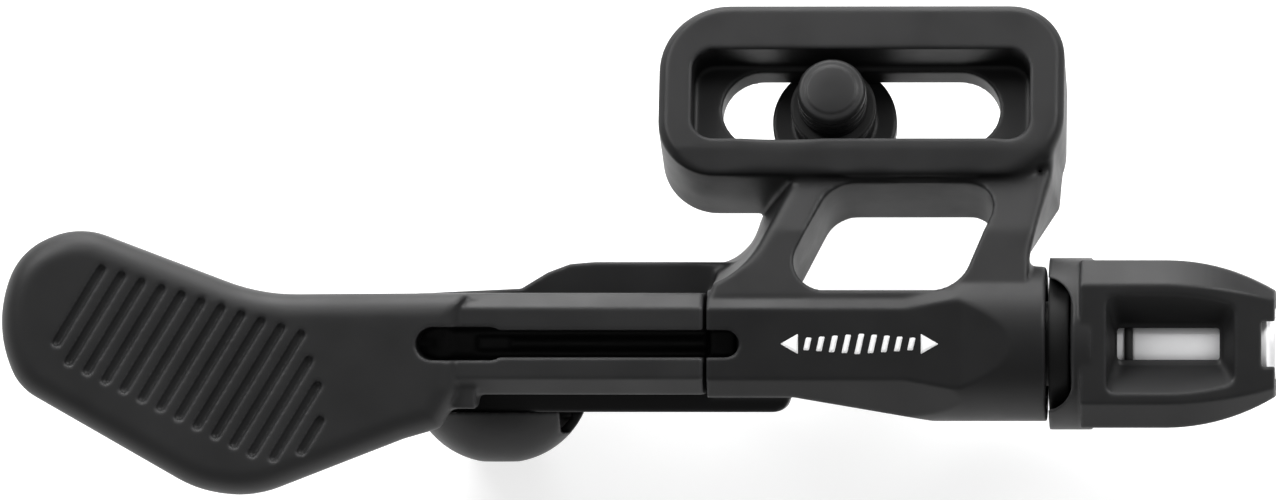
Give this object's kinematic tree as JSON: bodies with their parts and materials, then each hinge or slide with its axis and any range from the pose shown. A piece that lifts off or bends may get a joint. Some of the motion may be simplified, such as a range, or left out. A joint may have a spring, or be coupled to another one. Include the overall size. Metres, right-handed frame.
{
  "type": "thumb shifter",
  "caption": "Left-hand thumb lever on a slotted bar-clamp bracket, with a cable groove, a sprung pivot and a barrel adjuster for the cable's tension.",
  "frame": {"origin": "on the clamp bolt's axis, at the floor of the tray's pocket", "axes": "+X along the handlebar from the thumb pad towards the cable adjuster, +Z out of the tray's rim towards the bar clamp, +Y from the lever's barrel towards the tray"},
  "size_m": [0.0904, 0.0355, 0.0216],
  "materials": {
    "black_alloy": "satin black anodised",
    "lever_alloy": "matte black anodised",
    "knob_black": "satin black anodised",
    "silver_alloy": "bright turned",
    "black_steel": "black oxide",
    "steel": "ground",
    "spring_steel": "drawn wire",
    "polymer": "moulded",
    "rubber": "moulded"
  },
  "bodies": {
    "bracket": {"bracket": "black_alloy", "cable_guide": "polymer", "pivot_axle": "steel", "axle_clip": "spring_steel", "spring_cap": "black_alloy", "spring_spool": "polymer", "thrust_washer_upper": "steel", "thrust_washer_lower": "steel", "rest_bumper": "rubber", "return_spring": "spring_steel", "detent_spring": "spring_steel"},
    "lever": {"lever": "lever_alloy", "pivot_bush_upper": "polymer", "pivot_bush_lower": "polymer"},
    "clamp_carriage": {"clamp_washer": "black_steel", "bolt_keeper": "polymer"},
    "clamp_bolt": {"clamp_bolt": "black_steel"},
    "detent_ring": {"detent_ring": "polymer"},
    "adjuster": {"adjuster_knob": "knob_black", "adjuster_barrel": "silver_alloy", "adjuster_seal": "rubber"}
  },
  "joints": [
    {"name": "lever_press", "type": "hinge", "parent": "bracket", "child": "lever", "pos_m": [-0.024, -0.01447, -0.00877], "axis": [0, -0.9272, -0.3746], "range_deg": [0, 32], "stiffness_Nm_per_rad": 0.02, "springref_deg": -28.65, "deforming": ["return_spring"]},
    {"name": "clamp_slide", "type": "slide", "parent": "bracket", "child": "clamp_carriage", "axis": [1, 0, 0], "range_m": [-0.005, 0.0089]},
    {"name": "clamp_screw", "type": "hinge", "parent": "clamp_carriage", "child": "clamp_bolt", "pos_m": [0, 0, 0], "axis": [0, 0, 1], "continuous": true},
    {"name": "adjuster_travel", "type": "slide", "parent": "bracket", "child": "detent_ring", "axis": [1, 0, 0], "range_m": [0, 0.004], "deforming": ["detent_spring"]},
    {"name": "adjuster_turn", "type": "hinge", "parent": "detent_ring", "child": "adjuster", "pos_m": [0.024, -0.0172, -0.002], "axis": [1, 0, 0], "range_deg": [0, 1810]}
  ],
  "couplings": [
    {"joint": "adjuster_turn", "follows": "adjuster_travel", "rad_per_m": 7854}
  ]
}
